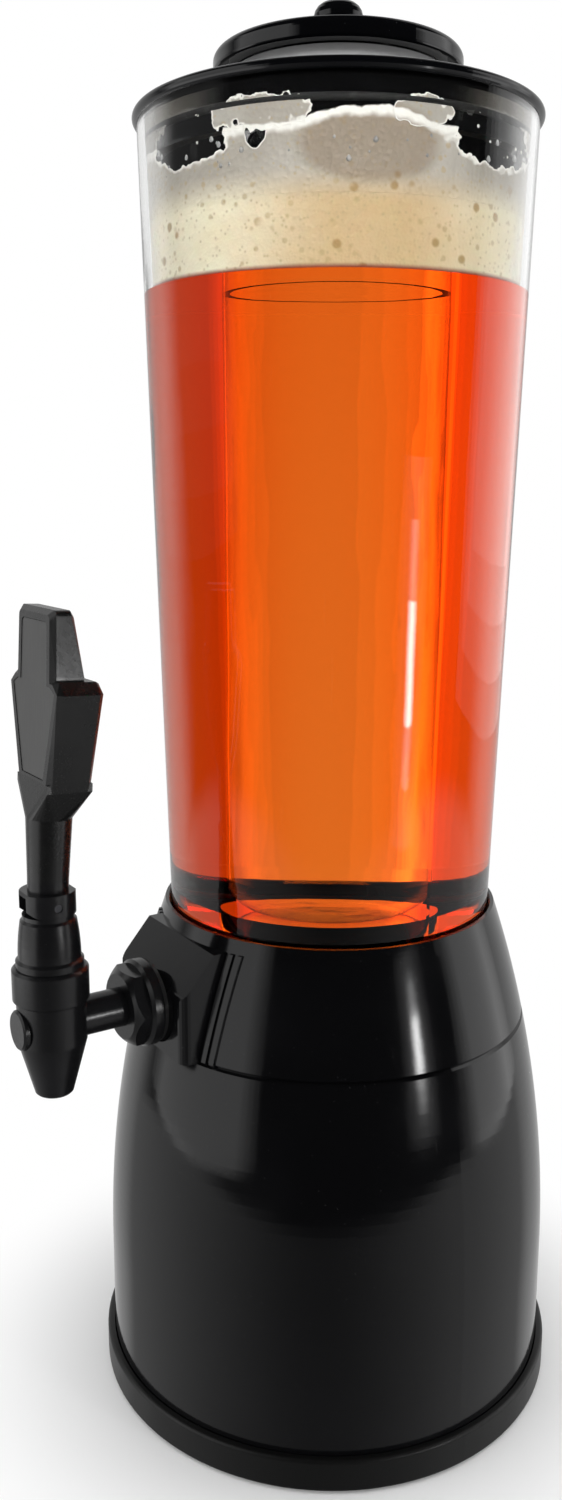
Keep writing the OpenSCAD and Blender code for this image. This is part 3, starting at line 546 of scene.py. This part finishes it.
def mist(name):
    """Pale mist in patches, thin enough to see through."""
    paint = Paint(name, 0.6, Base_Color=grey(0.5))
    spot = paint.place()
    paint.set("Alpha", 0.35 + 0.35 * paint.cloud(spot, 60.0, 4.0))
    paint.bump(paint.cells(spot, 900.0), 0.0001)
    return paint.material


def water_drop(name):
    """Water, a little milky so that small drops show."""
    return Paint(name, 0.02, Base_Color=grey(1.0), Transmission_Weight=0.7, IOR=WATER_IOR).material


BELL = gloss_black("bell_black", (0.0018, 0.0018, 0.0021, 1))
LID = gloss_black("lid_black", (0.0016, 0.0017, 0.0022, 1), roughness=0.07)
FOOT = satin_black("foot_black", grey(0.0015), roughness=0.38)
TAP = satin_black("tap_black", (0.004, 0.004, 0.0045, 1), roughness=0.2, grain=700.0, depth=0.00002)
HANDLE = satin_black("handle_black", grey(0.004), roughness=0.22, grain=600.0, depth=0.00002)
RUBBER = rubber("rubber_black")
SILICONE = silicone("silicone")
STEEL = steel("steel", (0.6, 0.6, 0.62, 1))
DARK_STEEL = steel("dark_steel", (0.06, 0.06, 0.065, 1), roughness=0.3)
TANK = clear_plastic("clear_tank", (0.995, 0.998, 0.99, 1), waves=34.0, ior=TANK_IOR)

FINISHES = {
    "base_mat": RUBBER, "base_plate": FOOT, "base_screws": STEEL,
    "skirt": BELL, "reservoir_screws": STEEL, "upper_shell": BELL, "reservoir": BELL,
    "tank": TANK, "tank_seal": SILICONE,
    "lid": LID, "lid_seal": RUBBER, "ice_tube_seal": SILICONE, "ice_cap": LID,
    "tap_body": TAP, "end_plug": TAP, "outer_gasket": RUBBER, "shank_nut": TAP,
    "inner_gasket": RUBBER, "lock_nut": nylon("nylon"),
    "valve_cup": SILICONE, "stem": STEEL, "spring": STEEL, "stem_seal": RUBBER,
    "bonnet": TAP, "heel_washer": TAP, "lever_cam": TAP, "pivot_pin": DARK_STEEL,
    "handle": HANDLE, "handle_panel": panel_grey("panel_grey"),
}


def dress(piece, material):
    """Give the piece this material alone."""
    piece.data.materials.clear()
    piece.data.materials.append(material)


# ---- Pieces made here: the drink, the filled ice tube, the foam, the film, the mist and the drops ----


def start_fresh():
    """Object mode with nothing selected."""
    if bpy.context.object and bpy.context.object.mode != "OBJECT":
        bpy.ops.object.mode_set(mode="OBJECT")
    bpy.ops.object.select_all(action="DESELECT")


def turned_body(name, outline):
    """Round body drawn up from a disc: each (radius, height) after the first is one more extrusion."""
    start_fresh()
    radius, z = outline[0]
    bpy.ops.mesh.primitive_circle_add(vertices=SIDES, radius=radius, fill_type="NGON", location=(0, 0, z))
    piece = bpy.context.object
    piece.name = name
    bpy.ops.object.transform_apply(location=True, rotation=True, scale=True)
    bpy.ops.object.mode_set(mode="EDIT")
    bpy.ops.mesh.select_mode(type="FACE")
    bpy.ops.mesh.select_all(action="SELECT")
    for next_radius, next_z in outline[1:]:
        bpy.ops.mesh.extrude_region_move(TRANSFORM_OT_translate={"value": (0, 0, next_z - z)})
        share = next_radius / radius
        bpy.ops.transform.resize(value=(share, share, 1), center_override=(0, 0, next_z))
        radius, z = next_radius, next_z
    bpy.ops.mesh.select_all(action="SELECT")
    bpy.ops.mesh.normals_make_consistent(inside=False)
    bpy.ops.object.mode_set(mode="OBJECT")
    bpy.ops.object.shade_smooth_by_angle(angle=SMOOTH_ANGLE)
    return piece


def turned_ring(name, outline):
    """Round body with an open middle: the first and last faces come off and their edges are bridged."""
    piece = turned_body(name, outline)
    for face in piece.data.polygons:
        face.select = len(face.vertices) == SIDES
    bpy.ops.object.mode_set(mode="EDIT")
    bpy.ops.mesh.delete(type="ONLY_FACE")
    bpy.ops.mesh.select_mode(type="EDGE")
    bpy.ops.mesh.select_all(action="DESELECT")
    bpy.ops.mesh.select_non_manifold()
    bpy.ops.mesh.bridge_edge_loops()
    bpy.ops.mesh.select_all(action="SELECT")
    bpy.ops.mesh.normals_make_consistent(inside=False)
    bpy.ops.object.mode_set(mode="OBJECT")
    return piece


def sleeve(name, low, high, outer_low, outer_high):
    """Thin round sleeve, open at both ends."""
    return turned_ring(name, [(outer_low, low), (outer_high, high), (outer_high - SLEEVE_T, high),
                              (outer_low - SLEEVE_T, low)])


def tube_foot(bend):
    """Outline of the ice tube's rounded foot from its middle out and up; bend is the round's radius."""
    middle_r, middle_z = TUBE_FOOT_R - TUBE_ROUND, TUBE_FOOT_Z + TUBE_ROUND
    angles = [math.radians(90 * step / FOOT_STEPS) for step in range(FOOT_STEPS + 1)]
    return [(middle_r + bend * math.sin(angle), middle_z - bend * math.cos(angle)) for angle in angles]


def add_beer():
    """The drink: from the trapped air out and up the tank's wall, in over its level face and
    down round the ice tube."""
    wall = [(POCKET_R, POCKET_Z), (POCKET_R + POCKET_FLARE, SPIGOT_LOW_Z),
            (SPIGOT_IN_R + WETTING, SPIGOT_LOW_Z), (SPIGOT_IN_R + WETTING, RIM_Z),
            (tank_in(SPIGOT_BLEND_Z) + WETTING, SPIGOT_BLEND_Z)]
    level = [(tank_in(BEER_Z) + WETTING, BEER_Z), (tube_out(BEER_Z) - WETTING, BEER_Z)]
    piece = turned_body("beer", wall + level + tube_foot(TUBE_ROUND - WETTING)[::-1])
    dress(piece, beer_liquid("beer_amber"))
    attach(piece, "tank")


def add_filled_tube():
    """The ice tube with the water of its melted ice, one clear body up to the water's face."""
    neck = [(TUBE_TOP_R, TUBE_TOP_Z), (NECK_R, TUBE_TOP_Z), (NECK_R, NECK_TOP_Z), (NECK_IN_R, NECK_TOP_Z),
            (NECK_IN_R, NECK_FLOOR_Z), (MOUTH_R, NECK_FLOOR_Z)]
    melt = [(tube_out(MELT_Z) - TUBE_WALL, MELT_Z)]
    piece = turned_body("filled_ice_tube", tube_foot(TUBE_ROUND) + neck + melt)
    dress(piece, clear_plastic("clear_tube", (0.99, 0.995, 0.995, 1), waves=50.0, ior=FILLED_TUBE_IOR))
    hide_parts("ice_tube")
    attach(piece, "ice_tube")


def add_foam():
    """Foam head with an uneven top that climbs a little at both walls."""
    outer, inner = tank_in(BEER_Z) - FOAM_GAP, tube_out(BEER_Z) + FOAM_GAP
    width = outer - inner
    foot_z = BEER_Z + FOAM_LIFT
    wall = [(outer, foot_z), (tank_in(FOAM_Z) - FOAM_GAP, FOAM_Z)]
    crest = [(outer - width * ring / FOAM_RINGS, FOAM_Z) for ring in range(1, FOAM_RINGS + 1)]
    piece = turned_ring("foam_head", wall + crest + [(inner, foot_z)])
    coarse, fine = FOAM_ROLLS
    for vertex in piece.data.vertices:
        if vertex.co.z > (foot_z + FOAM_Z) / 2:
            radius = math.hypot(vertex.co.x, vertex.co.y)
            climb = abs(radius - (outer + inner) / 2) / width
            roll = noise.noise(vertex.co * coarse) + 0.5 * noise.noise(vertex.co * fine)
            vertex.co.z += FOAM_ROLL * roll + FOAM_CLIMB * climb * climb
    dress(piece, foam_head("foam_cream"))
    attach(piece, "tank")


def add_film():
    """Dried foam on the wall between the foam head and the lid."""
    piece = sleeve("wall_film", FILM_LOW_Z, FILM_HIGH_Z,
                   tank_in(FILM_LOW_Z) - FILM_GAP, tank_in(FILM_HIGH_Z) - FILM_GAP)
    dress(piece, wall_film("foam_film"))
    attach(piece, "tank")


def add_mist():
    """Mist on the outside of the ice tube's cold neck."""
    radius = NECK_R + MIST_GAP
    piece = sleeve("neck_mist", TUBE_TOP_Z + MIST_END, NECK_TOP_Z - MIST_END, radius, radius)
    dress(piece, mist("neck_mist"))
    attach(piece, "ice_tube")


DROP_COUNT = 70
DROP_SEED = 7
DROP_R_MIN, DROP_R_MAX = 0.0003, 0.0009
DROP_LOW_Z, DROP_HIGH_Z = FOAM_Z + 0.007, PLUG_LOW_Z - 0.001
# How far a drop's middle is from the wall
DROP_OFF = 0.00035
# Shape of a drop of radius 1: its thickness, and where, how far and to what width
# its top is drawn out
DROP_FLAT = 0.45
TIP_FROM, TIP_RISE, TIP_WIDTH = 0.3, 0.35, 0.7


def model_drop():
    """One drop of radius 1 at the origin, flat against the wall and drawn out at its top."""
    start_fresh()
    bpy.ops.mesh.primitive_ico_sphere_add(subdivisions=2, radius=1.0, location=(0, 0, 0))
    drop = bpy.context.object
    drop.name = "wall_drop"
    bpy.ops.object.mode_set(mode="EDIT")
    bpy.ops.mesh.select_mode(type="VERT")
    bpy.ops.mesh.select_all(action="SELECT")
    bpy.ops.transform.resize(value=(1.0, DROP_FLAT, 1.0))
    bpy.ops.mesh.select_all(action="DESELECT")
    bpy.ops.object.mode_set(mode="OBJECT")
    for vertex in drop.data.vertices:
        vertex.select = vertex.co.z > TIP_FROM
    bpy.ops.object.mode_set(mode="EDIT")
    bpy.ops.transform.translate(value=(0, 0, TIP_RISE))
    bpy.ops.transform.resize(value=(TIP_WIDTH, TIP_WIDTH, 1.0))
    bpy.ops.object.mode_set(mode="OBJECT")
    bpy.ops.object.shade_smooth()
    return drop


def add_drops():
    """Drops that hang on the tank's inner wall above the foam, one modelled and the rest copied."""
    rng = random.Random(DROP_SEED)
    first = model_drop()
    drops = []
    for _ in range(DROP_COUNT):
        copy = first.copy()
        copy.data = first.data.copy()
        bpy.context.scene.collection.objects.link(copy)
        size = rng.uniform(DROP_R_MIN, DROP_R_MAX)
        azimuth, z = rng.uniform(0, 360), rng.uniform(DROP_LOW_Z, DROP_HIGH_Z)
        spot = turned(azimuth, tank_in(z) - DROP_OFF, z)
        copy.data.transform(Matrix.Translation(spot) @ Matrix.Rotation(math.radians(azimuth), 4, "Z")
                            @ Matrix.Scale(size, 4))
        drops.append(copy)
    bpy.data.objects.remove(first)
    start_fresh()
    for copy in drops:
        copy.select_set(True)
    bpy.context.view_layer.objects.active = drops[0]
    bpy.ops.object.join()
    piece = bpy.context.object
    piece.name = "wall_drops"
    dress(piece, water_drop("drop_water"))
    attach(piece, "tank")


# ---- Floor and world ----

# The floor takes the lamps' light beside the foot and is plain white past the fade's end
FLOOR_R = 3.0
FLOOR_SIDES = 96
FLOOR_FADE_FROM_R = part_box("base_plate")[1].x
FLOOR_FADE_END_R = 0.15

# The world's level as light on matt surfaces, mirrored from behind the object, mirrored
# from the dark room in front, and seen from in front through clear pieces that mirror it
LIGHT_LEVEL = 0.88
BEHIND_LEVEL = 0.6
ROOM_LEVEL = 0.012
INNER_LEVEL = 0.04
# A direction counts as behind the object from the first number on, fully from the second
BEHIND_FROM, BEHIND_FULL = 0.2, 0.6
# Below this slope a glossy surface shows the table; its edge is soft and rises
# towards the sides, where the table is paler
TABLE_SLOPE = -0.36
TABLE_SOFT = 0.02
TABLE_RISE = 0.09
TABLE_LEVEL = 0.1
TABLE_SIDE_LEVEL = 0.5
# The wall behind is darker on the right, which shows in that side of the drink
FLANK_FROM, FLANK_FULL = 0.21, 0.3
FLANK_SHADE = 0.34


def add_floor():
    """White to look at; mirrored rays pass through it, and show the world's table instead."""
    start_fresh()
    bpy.ops.mesh.primitive_circle_add(vertices=FLOOR_SIDES, radius=FLOOR_R, fill_type="NGON",
                                      location=(0, 0, 0))
    floor = bpy.context.object
    floor.name = "floor"
    paint = Paint("pale_floor", 0.7, Base_Color=grey(0.93))
    x, y, _ = paint.axes(paint.place())
    far = paint.ease(paint.math("SQRT", x * x + y * y), FLOOR_FADE_FROM_R, FLOOR_FADE_END_R)
    white = paint.node("ShaderNodeEmission", {}, {"Color": grey(1.0), "Strength": 1.0})
    body = Value(paint, paint.shader.outputs[0])
    seen = paint.node("ShaderNodeMixShader", {}, {0: far, 1: body, 2: white})
    mirrored = paint.node("ShaderNodeLightPath", out="Is Glossy Ray")
    clear = paint.node("ShaderNodeBsdfTransparent")
    paint.feed(paint.output.inputs["Surface"],
               paint.node("ShaderNodeMixShader", {}, {0: mirrored, 1: seen, 2: clear}))
    floor.data.materials.append(paint.material)


def add_world():
    """White to look at and through; dark in front of the object where it is only mirrored."""
    world = bpy.data.worlds.new("studio")
    bpy.context.scene.world = world
    world.use_nodes = True
    graph = Graph(world.node_tree)
    x, y, z = graph.axes(graph.node("ShaderNodeTexCoord", out="Generated"))
    east = math.radians(VIEW_AZIMUTH)
    behind = graph.ease(y * math.cos(east) - x * math.sin(east), BEHIND_FROM, BEHIND_FULL)
    aside = x * math.cos(east) + y * math.sin(east)
    slope = z - TABLE_RISE * (aside * aside)
    table = graph.ease(slope, TABLE_SLOPE + TABLE_SOFT, TABLE_SLOPE - TABLE_SOFT)
    front = ROOM_LEVEL + table * (TABLE_LEVEL + TABLE_SIDE_LEVEL * (aside * aside))
    mirrored = graph.most(BEHIND_LEVEL * behind, front)
    # A ray that goes straight through the clear pieces sees white all round, and one that
    # they have mirrored inside sees it only behind the object
    straight = graph.node("ShaderNodeLightPath", out="Glossy Depth") < 0.5
    flank = graph.ease(aside, FLANK_FROM, FLANK_FULL) * behind
    through = (1.0 - FLANK_SHADE * flank) * graph.most(straight, graph.most(behind, INNER_LEVEL))
    level = grey(LIGHT_LEVEL)
    for ray, shown in (("Is Glossy Ray", mirrored), ("Is Transmission Ray", through),
                       ("Is Camera Ray", grey(1.0))):
        level = graph.blend(graph.node("ShaderNodeLightPath", out=ray), level, shown)
    back = world.node_tree.nodes["Background"]
    graph.feed(back.inputs["Color"], level)
    back.inputs["Strength"].default_value = 1.0


# ---- Lamps ----

# Pieces lit by the tank's soft boxes; all others are lit by the base's
TANK_SIDE = ["tank", "filled_ice_tube", "beer", "foam_head", "wall_film", "neck_mist", "wall_drops"]
SOFT_DISTANCE = 0.7
# Name, azimuth from the photographed side and half width in degrees, low and high edge
# in metres, radiance, and whether it lights the tank's side
SOFT_BOXES = [
    ("soft_left", -70.0, 36.0, -0.09, 0.85, 0.72, False),
    ("soft_right", 97.0, 24.0, -0.09, 0.85, 0.9, False),
    ("tank_left", -94.0, 36.0, 0.225, 0.9, 0.16, True),
    ("tank_right", 120.0, 34.0, 0.08, 0.9, 1.0, True),
]
# Each soft box, strip and band is a nest of lamps, every one a little nearer and
# narrower, so that its edges fade: a soft box's over so many degrees, and the low
# edge of the tank's boxes over so many metres; a strip and a band fade all over
NEST = 4
NEST_STEP = 0.004
FEATHER = 12.0
LOW_FEATHER = 0.2
STRIP_AZIMUTH = 49.0
STRIP_DISTANCE = 0.63
# Strips of the narrow light on the right: name, half width, low and high edge, radiance
STRIPS = [
    ("strip_core", 3.2, 0.1, 0.195, 17.0),
    ("strip_ends", 3.2, 0.05, 0.255, 3.0),
    ("strip_halo", 9.0, 0.0, 0.3, 0.5),
]
# Lights behind the tank that show through the drink as its yellow bands: azimuth,
# half width, radiance
BANDS = [(191.5, 3.0, 1.5), (191.5, 9.0, 0.3), (169.0, 4.0, 0.3)]
BAND_DISTANCE = 0.7
BAND_LOW_Z, BAND_HIGH_Z = -0.3, 0.9
# The lamp high above the camera that lights the foam behind the clear wall
FOAM_LAMP_HALF = 45.0
FOAM_LAMP_DISTANCE = 0.8
FOAM_LAMP_LOW_Z, FOAM_LAMP_HIGH_Z = 0.8, 1.5
FOAM_LAMP_RADIANCE = 7.5


def add_area(name, azimuth, half, distance, low, high, radiance):
    """Upright area lamp that faces the tower's axis, at degrees round it from the photographed side."""
    data = bpy.data.lights.new(name, "AREA")
    data.shape = "RECTANGLE"
    data.size = 2 * distance * math.tan(math.radians(half))
    data.size_y = high - low
    data.energy = 4 * radiance * data.size * data.size_y
    lamp = bpy.data.objects.new(name, data)
    bpy.context.scene.collection.objects.link(lamp)
    way = VIEW_AZIMUTH + azimuth
    turn = Matrix.Rotation(math.radians(way), 4, "Z") @ Matrix.Rotation(math.radians(90), 4, "X")
    lamp.matrix_world = Matrix.Translation(turned(way, distance, (low + high) / 2)) @ turn
    lamp.visible_camera = False
    return lamp


def add_nest(name, azimuth, half, distance, low, high, radiance, feather, low_feather=0.0):
    """Lamps that stand in one another, so that the light's edges fade."""
    lamps = []
    for step in range(NEST):
        share = step / NEST
        lamps.append(add_area(name, azimuth, half - feather * share, distance - NEST_STEP * step,
                              low + low_feather * share, high, radiance / NEST))
    return lamps


def add_lamps():
    """The studio's lamps, and which pieces each of them lights."""
    groups = {True: bpy.data.collections.new("tank_pieces"), False: bpy.data.collections.new("black_pieces")}
    for piece in bpy.context.scene.objects:
        if piece.type == "MESH":
            groups[piece.name in TANK_SIDE].objects.link(piece)
    for name, azimuth, half, low, high, radiance, on_tank in SOFT_BOXES:
        for lamp in add_nest(name, azimuth, half, SOFT_DISTANCE, low, high, radiance, FEATHER,
                             LOW_FEATHER if on_tank else 0.0):
            lamp.visible_transmission = False
            lamp.light_linking.receiver_collection = groups[on_tank]
    for name, half, low, high, radiance in STRIPS:
        for lamp in add_nest(name, STRIP_AZIMUTH, half, STRIP_DISTANCE, low, high, radiance, half):
            lamp.visible_transmission = False
    behind = []
    for azimuth, half, radiance in BANDS:
        behind += add_nest("band", azimuth, half, BAND_DISTANCE, BAND_LOW_Z, BAND_HIGH_Z, radiance, half)
    above = add_area("foam_light", 0.0, FOAM_LAMP_HALF, FOAM_LAMP_DISTANCE, FOAM_LAMP_LOW_Z,
                     FOAM_LAMP_HIGH_Z, FOAM_LAMP_RADIANCE)
    for lamp in behind + [above]:
        lamp.visible_glossy = False
        lamp.light_linking.receiver_collection = groups[True]


bpy.context.scene.view_settings.view_transform = "Standard"
add_camera()
for node_name, finish in FINISHES.items():
    dress(nodes[node_name], finish)
add_beer()
add_filled_tube()
add_foam()
add_film()
add_mist()
add_drops()
add_world()
add_floor()
add_lamps()
